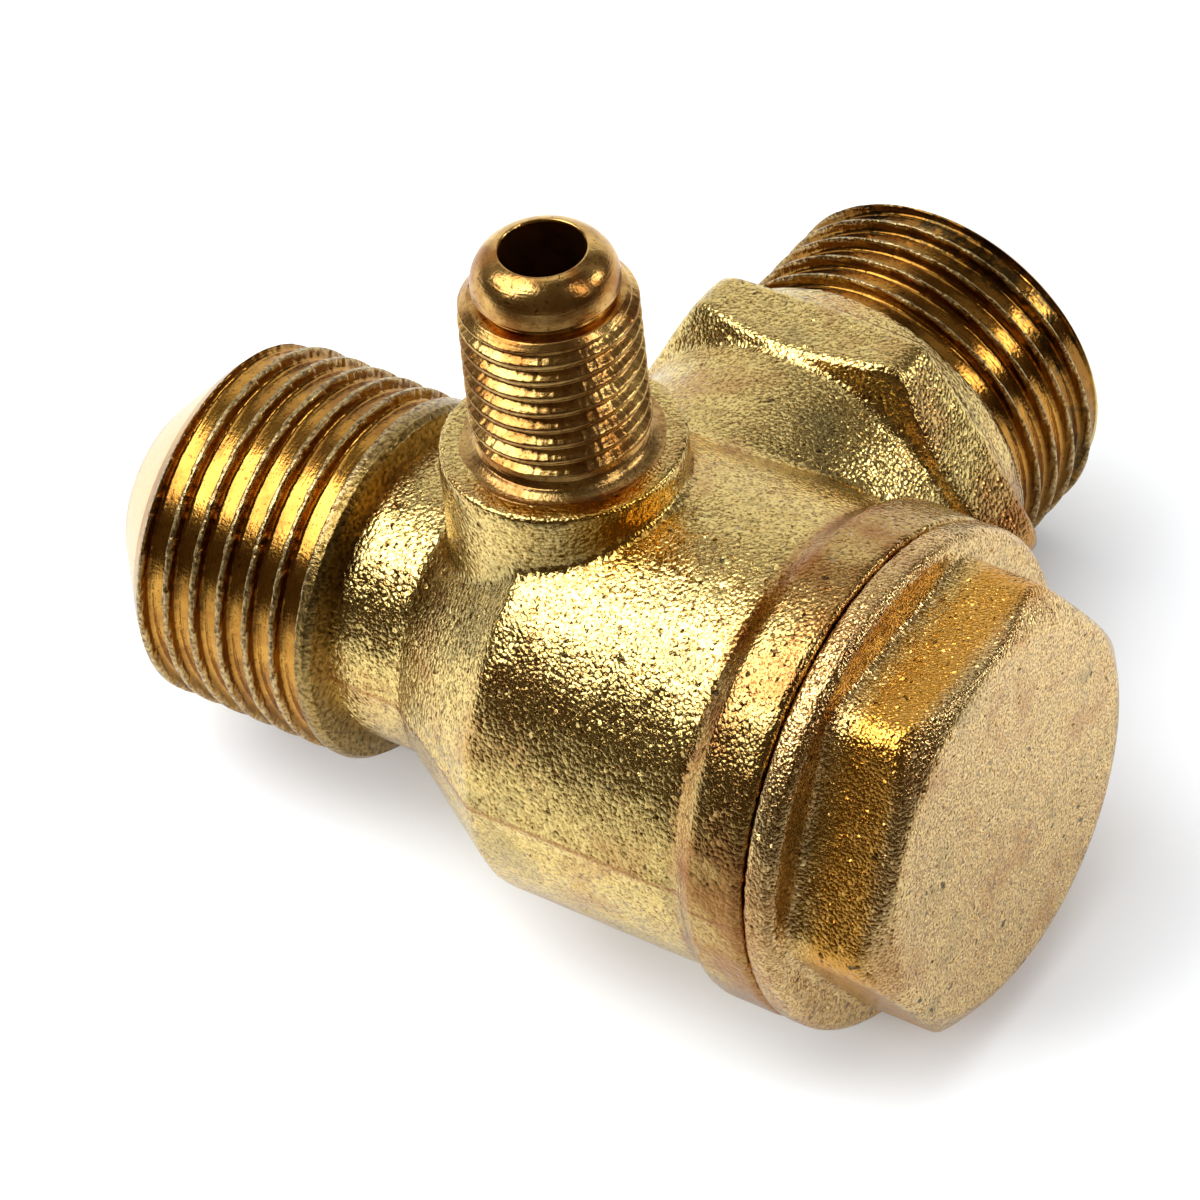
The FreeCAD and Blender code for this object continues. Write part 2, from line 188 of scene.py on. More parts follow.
def levelSurface(field, low, pitch):
    # one point in each cell that the zero level passes, at the mean of its edge crossings, and one quad for
    # each grid edge whose ends lie on different sides
    inside = field < 0
    size = np.array(field.shape) - 1
    corners = list(np.ndindex(2, 2, 2))
    part = lambda grid, c: grid[c[0]:c[0] + size[0], c[1]:c[1] + size[1], c[2]:c[2] + size[2]]
    count = sum(part(inside, c).astype(np.int8) for c in corners)
    cells = np.argwhere((count > 0) & (count < 8))
    number = np.full(tuple(size), -1)
    number[tuple(cells.T)] = np.arange(len(cells))
    total, hits = np.zeros((len(cells), 3)), np.zeros(len(cells))
    values = {c: part(field, c)[tuple(cells.T)] for c in corners}
    for a in corners:
        for axis in range(3):
            if a[axis]:
                continue
            b = tuple(1 if axis == other else a[other] for other in range(3))
            crossed = (values[a] < 0) != (values[b] < 0)
            t = np.where(crossed, values[a] / np.where(crossed, values[a] - values[b], 1), 0)
            place = np.tile(np.array(a, float), (len(cells), 1))
            place[:, axis] = t
            total += place * crossed[:, None]
            hits += crossed
    points = settled(cells + total / hits[:, None], field)
    quads = []
    for axis in range(3):
        first, second = [other for other in range(3) if other != axis]
        here = [slice(1, size[other]) for other in range(3)]
        here[axis] = slice(0, size[axis])
        ahead = list(here)
        ahead[axis] = slice(1, size[axis] + 1)
        a, b = inside[tuple(here)], inside[tuple(ahead)]
        edge = np.argwhere(a != b)
        enters = b[tuple(edge.T)]
        base = edge + np.array([0 if axis == other else 1 for other in range(3)])
        stepFirst, stepSecond = np.eye(3, dtype=int)[first], np.eye(3, dtype=int)[second]
        around = [base - stepFirst - stepSecond, base - stepSecond, base, base - stepFirst]
        quad = np.stack([number[tuple(cell.T)] for cell in around], -1)
        flip = enters if axis != 1 else ~enters
        quads.append(np.where(flip[:, None], quad[:, ::-1], quad))
    return low + pitch * points, np.vstack(quads)


def levelPiece(name, field, size, node, slot):
    axes = [np.arange(low, high, size["pitch"]) for low, high in zip(size["low"], size["high"])]
    grid = np.meshgrid(*axes, indexing="ij", sparse=True)
    points, faces = levelSurface(blurred(field(*grid), size["blur"]), np.array(size["low"]), size["pitch"])
    return addPiece(name, points, faces, node, slot, "housing")


# The forging. Its skin is the zero level of a distance field, as grids can't follow its soft joints: bars
# turned about the three axes and the spanner hexagon are joined with creases, the passages are cut out, and
# the result is blurred a little, because a hot-forged edge is never sharp. The pitch is the grid's, the blur
# is in grid steps, and low and high are the grid's corners. Sizes are in millimetres.
forging = {
    "pitch": 0.335, "blur": 0.48, "low": (-1.0, -15.4, -15.4), "high": (48.4, 32.6, 16.6),
    "branchCrease": 0.4, "bossCrease": 0.2, "hexCrease": 0.05, "waviness": 0.015,
    "seamHeight": 0.16, "seamWidth": 0.3, "seamStart": (17, 18), "seamEnd": (41, 42.5),
    "mainBar": [(0.5, 0), (0.5, 5.6), (3.8, 8.7), (16.0, 8.7), (21.1, 8.75), (29.1, 13.5), (42.7, 13.5),
                (43.9, 14.4), (47.35, 14.4), (47.35, 0)],
    "tankBar": [(0, 0), (0, 10.8), (15.6, 11.1), (20.1, 11.4), (22.2, 10.65), (22.3, 9.0), (31.3, 8.9), (31.3, 0)],
    "bossBar": [(5, 0), (5, 6.8), (15.5, 6.8), (15.5, 0)],
    "tankX": 31.6, "unloaderX": 27.7,
    "hexStart": 15.6, "hexEnd": 20.1, "hexFlats": 23.2, "hexTurn": 1.4, "hexRound": 1.6, "hexSideEdge": 0.1,
    # the hexagon's underside and its end chamfer are cones; a scale turns the cone's height into a distance
    "flareRadius": 11.1, "flareSlope": 0.7, "flareScale": 0.573,
    "chamferRadius": 11.4, "chamferSlope": 0.15, "chamferScale": 0.148, "coneEdge": 0.05,
    "passage": [(-1, 0), (-1, 4.85), (31.5, 4.85), (31.5, 5.85), (30.7, 5.85), (30.7, 9.5), (42.22, 9.5),
                (42.22, 11.0), (46.0, 11.0), (46.0, 12.55), (49, 12.55), (49, 0)],
    "tankPassage": [(8.6, 0), (8.6, 6.5), (33, 6.5), (33, 0)],
    "unloaderPassage": [(0, 0), (0, 1.4), (10.5, 1.4), (10.5, 2.45), (17, 2.45), (17, 0)],
}


def forgingField(x, y, z):
    main = polygonDistance(x, np.hypot(y, z), forging["mainBar"])
    tankRadius = np.hypot(x - forging["tankX"], z)
    tank = np.maximum(polygonDistance(y, tankRadius, forging["tankBar"]), -y)
    hexagon = hexDistance(z, x - forging["tankX"], forging["hexFlats"], -forging["hexTurn"], forging["hexRound"])
    flare = tankRadius - forging["flareRadius"] - (y - forging["hexStart"]) / forging["flareSlope"]
    chamfer = tankRadius - forging["chamferRadius"] - (forging["hexEnd"] - y) / forging["chamferSlope"]
    cones = softCut(flare * forging["flareScale"], chamfer * forging["chamferScale"], forging["coneEdge"])
    hexagon = softCut(hexagon, cones, forging["hexSideEdge"])
    tank = softUnion(tank, hexagon, forging["hexCrease"])
    boss = polygonDistance(z, np.hypot(x - forging["unloaderX"], y), forging["bossBar"])
    field = softUnion(main, tank, forging["branchCrease"])
    field = softUnion(field, boss, forging["bossCrease"])
    # the forging's slow unevenness: two products of sine waves, each 3 to 7 mm long
    wave = (np.sin(0.9 * x + 1.3 * z + 0.4) * np.sin(0.8 * y - 0.5 * z + 1.1)
            + np.sin(1.7 * z - 1.1 * x) * np.sin(1.9 * y + 0.7 * x))
    seam = forging["seamHeight"] * np.exp(-(z / forging["seamWidth"]) ** 2)  # where the two dies met
    seam = seam * smoothStep(*forging["seamStart"], x) * (1 - smoothStep(*forging["seamEnd"], x))
    field = field + forging["waviness"] * wave - seam
    for cut in (polygonDistance(x, np.hypot(y, z), forging["passage"]),
                polygonDistance(y, tankRadius, forging["tankPassage"]),
                polygonDistance(z, np.hypot(x - forging["unloaderX"], y), forging["unloaderPassage"])):
        field = np.maximum(field, -cut)
    return field


bodyForging = levelPiece("bodyForging", forgingField, forging, "valve_body", "body_brass")


# Machined threads. Radius at (station, turn) is the turned envelope less a groove that repeats every pitch
# along the helix: full depth over the middle of the groove, steep flanks, a narrow crest left standing. The
# phase is the station of a crest's middle at turn 0, and the groove fades in at start and out at end.
def threadedBar(name, size, centre, along):
    coarseStep, landBlend, crestBand, slack = 1.5, 0.25, 0.2, 0.001  # mm
    profile = np.vstack([alongProfile(size["outside"], size["step"]), alongProfile(size["coarse"], coarseStep)])
    station, envelope = profile[:, 0:1], profile[:, 1:2]
    turn = np.linspace(0, fullTurn, size["spokes"], endpoint=False)[None, :]
    angle = np.where(turn > np.pi, turn - fullTurn, turn)  # -180 to 180 degrees, as the phase was read
    lead = size["hand"] * angle / fullTurn
    coil = (station - size["phase"]) / size["pitch"] - lead
    share = np.abs(2 * (coil - np.floor(coil)) - 1)  # 1 on a crest's middle, 0 in the groove's; then ragged
    share = share + size["ragged"] * (np.sin(37 * turn + 3 * station) + np.sin(91 * turn)
                                      + np.sin(58 * turn - 5 * station))
    if "round" in size:  # a worn groove, part wave and part straight-sided
        wave = smoothStep(size["round"] * 0.5, 1 - size["round"] * 0.5, 1 - share)
        straight = np.clip((1 - share - size["straightFrom"]) / size["straightWidth"], 0, 1)
        cut = wave * (1 - size["straightShare"]) + size["straightShare"] * straight
    else:
        cut = 1 - np.clip(share / (1 - size["crestShare"]), 0, 1) ** size["flank"]
    middle = size["phase"] + size["pitch"] * (np.floor(coil) + 0.5 + lead)
    cut = cut * smoothStep(size["start"] - size["fade"], size["start"] + size["fade"], middle)
    cut = cut * (1 - smoothStep(size["end"] - size["fade"], size["end"] + size["fade"], middle))
    low, high = size["zone"]
    threaded = (station > low) & (station < high) & (envelope > size["crestRadius"] - size["depth"])
    threaded = threaded & (envelope <= size["crestRadius"] + slack)
    radius = np.where(threaded, np.minimum(envelope, size["crestRadius"] - size["depth"] * cut), envelope)
    station = np.broadcast_to(station, radius.shape)
    across, up = radius * np.cos(turn), radius * np.sin(turn)
    order = {"x": (station, across, up), "y": (across, station, up), "z": (across, up, station)}[along]
    points = np.stack(order, -1).reshape(-1, 3) + np.array(centre)
    layers = {
        "crest": np.clip(1 - cut * 5, 0, 1) * (radius > size["crestRadius"] - crestBand),
        # flank marks the groove's sides, which the turned brass darkens with painted shade
        "flank": 4 * cut * (1 - cut) * threaded,
        "land": smoothStep(size["landStart"], size["landStart"] + landBlend, station),
        "bare": ((station >= size["bare"][0]) & (station <= size["bare"][1])).astype(float),
    }
    faces = ringFaces(len(profile), size["spokes"])
    return addPiece(name, points, faces, "valve_body", "body_brass", "housing", layers)


# The inlet: a bright coned end, the thread, and a plain land that keeps the forging's skin
inletThread = {
    "outside": [(3.7, 9.6), (4.6, 10.46), (15.95, 10.46), (16.3, 10.2), (16.5, 9.3), (16.5, 8.5)],
    "coarse": [(16.5, 8.5), (16.0, 4.75), (0.15, 4.75), (0.0, 4.9), (0.0, 5.45), (0.1, 5.62), (3.7, 9.6)],
    "step": 0.075, "spokes": 400, "crestRadius": 10.46, "zone": (-beyond, beyond),
    "pitch": 1.814, "phase": 5.627, "hand": 1, "depth": 0.66, "crestShare": 0.17, "flank": 9.0, "ragged": 0.009,
    "start": 4.2, "end": 15.16, "fade": 0.12, "bare": (0, 3.8), "landStart": 15.3,
}
inletPiece = threadedBar("inletThread", inletThread, (0, 0, 0), "x")

# The tank port: the same thread, cut up to the hexagon's shoulder
tankThread = {
    "outside": [(22.15, 8.5), (22.15, 10.2), (22.35, 10.46), (30.75, 10.46), (31.6, 9.65), (31.7, 9.5)],
    "coarse": [(31.7, 9.5), (31.7, 6.7), (31.5, 6.5), (30.0, 6.5), (30.0, 8.5), (22.15, 8.5)],
    "step": 0.075, "spokes": 400, "crestRadius": 10.46, "zone": (-beyond, beyond),
    "pitch": 1.814, "phase": 24.242, "hand": -1, "depth": 0.66, "crestShare": 0.1, "flank": 8.0, "ragged": 0.004,
    "start": 21.5, "end": beyond, "fade": 0.2, "bare": (31.2, 32), "landStart": beyond,
}
tankPiece = threadedBar("tankThread", tankThread, (forging["tankX"], 0, 0), "y")

# The unloader port: a smaller stem with a shallower, rounder thread, a neck and a domed nose
unloaderStem = {
    "outside": [(27.9, 2.35), (28.6, 2.35), (28.7, 2.42)] + arcCorners((26.6, 1.85), 2.2, 17, 90, 16)
               + [(26.35, 4.06), (26.26, 3.95), (26.2, 3.65), (25.95, 3.55), (25.8, 3.65), (25.7, 4.3), (25.15, 4.9),
                  (17.0, 4.95), (16.8, 4.5)] + arcCorners((16.7, 5.65), 1.2, 270, 180, 10)
               + [(15.45, 5.75), (14.6, 5.75)],
    "coarse": [(14.6, 5.75), (12.2, 3.0), (12.2, 2.35), (27.9, 2.35)],
    "step": 0.06, "spokes": 256, "crestRadius": 4.95, "zone": (16.9, 25.75),
    "pitch": 1.09, "phase": 19.08 + 1.09 * 63 / 360, "hand": 1, "depth": 0.5, "ragged": 0.014,
    "round": 0.2, "straightFrom": 0.14, "straightWidth": 0.76, "straightShare": 0.65,
    "start": 16.9, "end": beyond, "fade": 0.25, "bare": (beyond, beyond), "landStart": beyond,
}
stemPiece = threadedBar("unloaderStem", unloaderStem, (forging["unloaderX"], 0, 0), "z")

# The hexagonal cap, forged as well: a rim flange, the hexagon with round corners and a turned end, a fillet
# where they meet, and behind the flange the threaded plug with the piston's guide bore. The plug's inner end
# stands a hair back from where the piston stops.
cap = {
    "pitch": 0.24, "blur": 0.55, "low": (38.0, -15.2, -15.2), "high": (56.0, 15.2, 15.2),
    "flats": 23.4, "turn": 34.5, "round": 2.6, "hexStart": 48, "endX": 55.15,
    "endRadius": 11.3, "endSlope": 0.75, "endScale": 0.8, "endEdge": 0.25,
    "rim": [(47.5, 0), (47.5, 14.3), (47.6, 14.4), (48.95, 14.4), (49.35, 14.0), (49.35, 0)], "rootFillet": 0.55,
    "plug": [(38.84, 0), (38.84, 10.4), (39.4, 10.95), (47.6, 10.95), (47.6, 0)],
    "guide": [(38, 0), (38, 6.0), (51.15, 6.0), (51.15, 0)],
}


def capField(x, y, z):
    radius = np.hypot(y, z)
    hexagon = hexDistance(y, z, cap["flats"], cap["turn"], cap["round"])
    turned = ((radius - cap["endRadius"]) * cap["endSlope"] - (cap["endX"] - x)) * cap["endScale"]
    hexagon = softCut(hexagon, softCut(turned, x - cap["endX"], cap["endEdge"]), cap["endEdge"])
    hexagon = np.maximum(hexagon, cap["hexStart"] - x)
    field = softUnion(hexagon, polygonDistance(x, radius, cap["rim"]), cap["rootFillet"])
    field = np.minimum(field, polygonDistance(x, radius, cap["plug"]))
    return np.maximum(field, -polygonDistance(x, radius, cap["guide"]))


capPiece = levelPiece("hexCap", capField, cap, "hex_cap", "cap_brass")

# The return spring, one wire coiled about the main axis between the piston's floor and the cap's floor, drawn
# at one length. Wire and radius are the wire's own radius and the coil's.
spring = {
    "wire": 0.4, "radius": 4.1, "start": 35.0, "end": 50.7, "turns": 6, "stepsPerTurn": 64, "spokes": 12,
    "fixedEnd": 51.15, "travel": 4.0,
}


def coiledWire(size):
    # a tube along a helix: its middle climbs evenly with the turn at the coil's radius, and its circle is spanned
    # by the outward way and the way square to that and to the wire; strips of quads close the two cut ends
    turn = np.linspace(0, fullTurn * size["turns"], size["turns"] * size["stepsPerTurn"] + 1)[:, None]
    still = np.zeros_like(turn)
    climb = (size["end"] - size["start"]) / turn[-1, 0]
    middle = np.hstack([size["start"] + climb * turn, size["radius"] * np.cos(turn), size["radius"] * np.sin(turn)])
    outward = np.hstack([still, np.cos(turn), np.sin(turn)])
    tangent = np.hstack([still + climb, -size["radius"] * np.sin(turn), size["radius"] * np.cos(turn)])
    sideways = np.cross(tangent / np.linalg.norm(tangent, axis=1, keepdims=True), outward)
    around = np.linspace(0, fullTurn, size["spokes"], endpoint=False)[None, :, None]
    points = middle[:, None] + size["wire"] * (np.cos(around) * outward[:, None] + np.sin(around) * sideways[:, None])
    tube = ringFaces(len(turn), size["spokes"]).reshape(len(turn), -1, 4)[:-1].reshape(-1, 4)
    strip = np.arange(size["spokes"] // 2 - 1)
    cutEnd = np.stack([strip, strip + 1, size["spokes"] - 2 - strip, size["spokes"] - 1 - strip], -1)
    lastRing = (len(turn) - 1) * size["spokes"]
    return points.reshape(-1, 3), np.vstack([tube, cutEnd, cutEnd[:, ::-1] + lastRing])


springPiece = addPiece("returnSpring", *coiledWire(spring), "return_spring", "spring_steel", "housing")
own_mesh(springPiece)


# Materials
def linear(code):
    # sRGB hex to linear, with full alpha
    channels = np.array([int(code[i:i + 2], 16) for i in (1, 3, 5)]) / 255
    return tuple(np.where(channels <= 0.04045, channels / 12.92, ((channels + 0.055) / 1.055) ** 2.4)) + (1.0,)


def add(tree, kind, links=None, **settings):
    # a node with its settings; links maps an input's name or number to a value, a colour or another output
    node = tree.nodes.new(kind)
    for name, value in settings.items():
        setattr(node, name, value)
    for name, value in (links or {}).items():
        socket = node.inputs[name]
        if isinstance(value, bpy.types.NodeSocket):
            tree.links.new(value, socket)
        else:
            socket.default_value = value
    return node


def newMaterial(name):
    material = bpy.data.materials.new(name)
    material.use_nodes = True
    tree = material.node_tree
    tree.nodes.clear()
    return material, tree


def ramp(tree, source, stops):
    # each stop is a place and a grey level or a colour
    node = add(tree, "ShaderNodeValToRGB", {"Fac": source})
    while len(node.color_ramp.elements) < len(stops):
        node.color_ramp.elements.new(0.5)
    for element, (place, colour) in zip(node.color_ramp.elements, stops):
        element.position = place
        element.color = colour if isinstance(colour, tuple) else (colour, colour, colour, 1)
    return node.outputs["Color"]


def mixed(tree, share, first, second):
    return add(tree, "ShaderNodeMix", {0: share, 6: first, 7: second}, data_type="RGBA").outputs[2]


def math(tree, operation, first, second=0.0, third=0.0):
    return add(tree, "ShaderNodeMath", {0: first, 1: second, 2: third}, operation=operation).outputs[0]


def vector(tree, operation, first, second=(0, 0, 0), output=0):
    return add(tree, "ShaderNodeVectorMath", {0: first, 1: second}, operation=operation).outputs[output]


def lengthRamp(tree, metres, whole, stops):
    # a ramp over a length, its stops in millimetres; whole is the length in millimetres that it covers
    return ramp(tree, math(tree, "MULTIPLY", metres, 1000.0 / whole), [(place / whole, value) for place, value in stops])


def noise(tree, where, millimetres, detail=2.0, roughness=0.5):
    return add(tree, "ShaderNodeTexNoise", {"Vector": where, "Scale": 1000 / millimetres, "Detail": detail,
                                            "Roughness": roughness}).outputs["Fac"]


def meshLayer(tree, name):
    return add(tree, "ShaderNodeAttribute", attribute_name=name).outputs["Fac"]


def objectPlace(tree):
    return add(tree, "ShaderNodeTexCoord").outputs["Object"]


def finishMaterial(tree, tone, rough, distance, height, metallic=0.0, strength=1.0, facing=None):
    # surface of that tone and roughness; height is a bump whose full height is distance in millimetres
    links = {"Strength": strength, "Distance": distance * millimetre, "Height": height}
    if facing is not None:
        links["Normal"] = facing
    bump = add(tree, "ShaderNodeBump", links).outputs[0]
    shader = add(tree, "ShaderNodeBsdfPrincipled", {"Base Color": tone, "Metallic": metallic, "Roughness": rough,
                                                    "Normal": bump})
    add(tree, "ShaderNodeOutputMaterial", {"Surface": shader.outputs[0]})


# Colours of the marks on the brass and of the small pieces
tones = {
    "copperPatch": "#b97c48", "rubbedPatch": "#95875c", "collarFilm": "#a26a36", "nick": "#33271a", "seam": "#9c5f38",
    # the three amber tones are painted reflection, and the groove flanks' dark brown on the next line is painted shade
    "paintedAmberNear": "#ecca70", "paintedAmberFar": "#e6a432", "paintedAmberSpot": "#f2b848",
    "toolNick": "#3a2412", "flankPaintedShade": "#4a2e14", "greenBlack": "#2c3022",
    "crestLow": "#6e5230", "crestHigh": "#d8be86", "landLow": "#66501f", "landHigh": "#b4965a",
    "bareLow": "#c8a260", "bareHigh": "#ecd08a",
    "rubberLow": "#141414", "rubberHigh": "#232322", "wireLow": "#9c9c98", "wireHigh": "#c9c9c4",
}


# Forged, shot-blasted brass: a pale greenish gold of grains a quarter of a millimetre wide, each tilted its own
# way so that it glitters, with brown pits between them, coppery and grey patches, a few dark nicks, painted
# amber reflection on the cap's flats and beside the boss, a browner collar and a coppery line where the dies met.
# Bead, grain, depth, collar and the places of the painted amber reflection are in millimetres.
def forgedBrass(name, bead=0.27, grain=0.17, depth=0.045, tilt=0.58, bright="#f4da8c", middle="#dcb96c", pit="#6e4c20",
                copper=0.4, rough=0.17, collar=(41.9, 47.6), brown=0.72, step=0.95, paintedAmber=None, spot=None, seam=0.6):
    material, tree = newMaterial(name)
    where = objectPlace(tree)
    place = add(tree, "ShaderNodeSeparateXYZ", {0: where})
    along = place.outputs["X"]
    beads = add(tree, "ShaderNodeTexVoronoi", {"Vector": where, "Scale": 1000 / bead}, feature="F1")
    fine = noise(tree, where, grain, 1.0, 0.6)
    broad = noise(tree, where, 5.0, 2.5, 0.62)

    # relief: round beads, the pits between them and a slow unevenness
    pits = ramp(tree, fine, [(0.36, 0.0), (0.47, 0.75), (0.7, 1.0)])
    domes = math(tree, "MULTIPLY", beads.outputs["Distance"], beads.outputs["Distance"])
    uneven = math(tree, "MULTIPLY", noise(tree, where, 1.5, 0.0), 0.9)
    height = math(tree, "MULTIPLY_ADD", domes, -0.8, math(tree, "MULTIPLY_ADD", pits, 0.2, uneven))

    # tone: grains from pit to bright, some duller, then patches over several millimetres
    tone = ramp(tree, fine, [(0.28, linear(pit)), (0.4, linear(middle)), (0.56, linear(bright))])
    dull = add(tree, "ShaderNodeSeparateXYZ", {0: beads.outputs["Color"]}).outputs["X"]
    tone = mixed(tree, ramp(tree, dull, [(0.0, 0.4), (0.4, 0.0)]), tone, linear(pit))
    tone = mixed(tree, ramp(tree, broad, [(0.52, 0.0), (0.66, copper)]), tone, linear(tones["copperPatch"]))
    worn = ramp(tree, broad, [(0.32, 0.4), (0.44, 0.0)])
    tone = mixed(tree, worn, tone, linear(tones["rubbedPatch"]))

    # the browner collar, its step darkest
    start, end = collar
    band = lengthRamp(tree, along, 100, [(start, 0.0), (start + 0.7, step), (start + 2.0, step), (start + 2.6, brown),
                                         (end - 0.3, brown), (end, 0.0)])
    cover = math(tree, "MULTIPLY", band, ramp(tree, broad, [(0.36, 0.3), (0.6, 1.0)]))
    tone = mixed(tree, cover, tone, linear(tones["collarFilm"]))
    if spot:  # painted amber reflection beside the boss
        centre = [value * millimetre for value in spot]
        away = vector(tree, "DISTANCE", where, centre, "Value")
        tone = mixed(tree, lengthRamp(tree, away, 10, [(1.6, 0.8), (3.6, 0.0)]), tone, linear(tones["paintedAmberSpot"]))
    if paintedAmber:  # painted amber reflection on the cap's flats
        start, end = paintedAmber
        paintedAmberShare = lengthRamp(tree, along, 100, [(start, 0.0), (start + 0.4, 0.3), (start + 1.6, 0.8), (end - 0.8, 0.75),
                                             (end, 0.0)])
        deeper = lengthRamp(tree, along, 100, [(start + 0.6, linear(tones["paintedAmberNear"])),
                                               (start + 1.8, linear(tones["paintedAmberFar"]))])
        tone = mixed(tree, paintedAmberShare, tone, deeper)
    nicks = ramp(tree, noise(tree, where, 0.9, 1.5, 0.65), [(0.71, 0.0), (0.75, 0.8)])
    tone = mixed(tree, nicks, tone, linear(tones["nick"]))
    if seam:  # within about a third of a millimetre of the dies' plane, its edge broken by the grain
        level = math(tree, "MULTIPLY", math(tree, "ABSOLUTE", place.outputs["Z"]), 1600)
        line = ramp(tree, math(tree, "MULTIPLY_ADD", fine, 0.35, level), [(0.3, seam), (0.55, 0.0)])
        tone = mixed(tree, line, tone, linear(tones["seam"]))

    # each bead's own random colour tilts it; most grains lie nearly flat
    lean = vector(tree, "SUBTRACT", beads.outputs["Color"], (0.5, 0.5, 0.5))
    chance = math(tree, "FRACT", math(tree, "MULTIPLY", dull, 13.7))  # a second draw from the same colour
    steep = ramp(tree, chance, [(0.0, 0.1 * tilt), (0.72, 0.2 * tilt), (1.0, tilt)])
    upright = add(tree, "ShaderNodeNewGeometry").outputs["Normal"]
    facet = add(tree, "ShaderNodeVectorMath", {0: lean, 1: steep, 2: upright}, operation="MULTIPLY_ADD").outputs[0]
    gloss = math(tree, "MULTIPLY_ADD", worn, 0.1, rough)
    finishMaterial(tree, tone, gloss, depth, height, metallic=1.0, facing=vector(tree, "NORMALIZE", facet))
    return material


# Turned brass: the tool leaves a bright, deep orange gold with fine streaks round the cut and small dark
# nicks, tarnished brown and copper red in patches; narrow crests keep the forging's rough skin, and groove
# flanks are darkened with painted shade. Spots is the station in millimetres from which green-black spots are thick.
def turnedBrass(name, along, tone="#d29c46", tarnish="#84501f", spread=0.65, crestSkin=1.0,
                rough=0.1, spots=None, paintedFlankShade=0.6):
    material, tree = newMaterial(name)
    where = objectPlace(tree)
    stretch = {"x": (9000, 700, 700), "y": (700, 9000, 700), "z": (700, 700, 9000)}[along]  # waves a metre
    streak = add(tree, "ShaderNodeMapping", {"Vector": where, "Scale": stretch}).outputs[0]
    rings = add(tree, "ShaderNodeTexNoise", {"Vector": streak, "Scale": 1.0, "Detail": 1.0}).outputs["Fac"]
    grit = noise(tree, where, 0.26, 2.0, 0.6)
    nicks = noise(tree, where, 0.2, 1.0, 0.6)
    stain = noise(tree, where, 3.2, 4.0, 0.62)
    crest = math(tree, "MULTIPLY", meshLayer(tree, "crest"), crestSkin)
    colour = mixed(tree, ramp(tree, stain, [(0.4, 0.0), (0.62, spread)]), linear(tone), linear(tarnish))
    colour = mixed(tree, ramp(tree, nicks, [(0.66, 0.0), (0.72, 0.7)]), colour, linear(tones["toolNick"]))
    # painted shade: the groove flanks are darkened towards dark brown
    flank = math(tree, "MULTIPLY", meshLayer(tree, "flank"), paintedFlankShade)
    colour = mixed(tree, flank, colour, linear(tones["flankPaintedShade"]))
    if spots:
        station = add(tree, "ShaderNodeSeparateXYZ", {0: where}).outputs["Y"]
        near = lengthRamp(tree, station, 100, [(spots - 1.0, 0.0), (spots, 1.0)])
        blots = ramp(tree, stain, [(0.44, 0.0), (0.5, 0.85), (0.55, 0.0)])
        colour = mixed(tree, math(tree, "MULTIPLY", near, blots), colour, linear(tones["greenBlack"]))
    land = meshLayer(tree, "land")
    for share, kind, dark, pale in ((crest, "crest", 0.36, 0.62), (land, "land", 0.34, 0.6),
                                    (meshLayer(tree, "bare"), "bare", 0.3, 0.42)):
        grain = ramp(tree, grit, [(dark, linear(tones[kind + "Low"])), (pale, linear(tones[kind + "High"]))])
        colour = mixed(tree, share, colour, grain)
    skin = math(tree, "MAXIMUM", crest, land)
    cut = math(tree, "MULTIPLY_ADD", nicks, -0.16, math(tree, "MULTIPLY", rings, 0.12))
    gloss = math(tree, "MULTIPLY_ADD", skin, 0.12, math(tree, "MULTIPLY_ADD", stain, 0.16, rough))
    finishMaterial(tree, colour, gloss, 0.07, mixed(tree, skin, cut, grit), metallic=1.0)
    return material


# Rubber: black, matte, with a faint moulded grain
def mouldedRubber(name):
    material, tree = newMaterial(name)
    grain = noise(tree, objectPlace(tree), 0.2)
    tone = ramp(tree, grain, [(0.3, linear(tones["rubberLow"])), (0.7, linear(tones["rubberHigh"]))])
    finishMaterial(tree, tone, 0.75, 0.01, grain, strength=0.5)
    return material


# Spring wire: drawn stainless steel, cool grey with fine lines
def drawnWire(name):
    material, tree = newMaterial(name)
    lines = noise(tree, objectPlace(tree), 0.08)
    tone = ramp(tree, lines, [(0.3, linear(tones["wireLow"])), (0.7, linear(tones["wireHigh"]))])
    finishMaterial(tree, tone, 0.28, 0.004, lines, metallic=1.0, strength=0.3)
    return material


bodyForging.data.materials.append(forgedBrass("forged blasted brass", spot=(33.6, -3.0, 14.6)))
capPiece.data.materials.append(forgedBrass(
    "forged cap brass", bead=0.22, grain=0.14, depth=0.055, tilt=1.0, bright="#ffdf9c", middle="#d2a462", pit="#74491e",
    collar=(44.5, 49.4), brown=0.2, step=0.2, paintedAmber=(49.4, 54.4), seam=0))
inletPiece.data.materials.append(turnedBrass("turned brass along x", "x"))
tankPiece.data.materials.append(turnedBrass(
    "turned brass along y", "y", tone="#c68f3e", tarnish="#6e4618", rough=0.06, spots=29.0))
stemPiece.data.materials.append(turnedBrass(
    "turned brass along z", "z", tone="#ecc274", tarnish="#9a5f24", spread=0.85, crestSkin=0.3, rough=0.14,
    paintedFlankShade=0.0))
for node, material in (("piston", turnedBrass("turned piston brass", "x")),
                       ("seat_disc", mouldedRubber("moulded seat rubber")),
                       ("cap_seal_ring", mouldedRubber("moulded ring rubber"))):
    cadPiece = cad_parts[node]
    for slot in cadPiece.material_slots:
        slot.material = material
    if not cadPiece.material_slots:
        cadPiece.data.materials.append(material)
springPiece.data.materials.append(drawnWire("drawn spring wire"))
print("materials done")

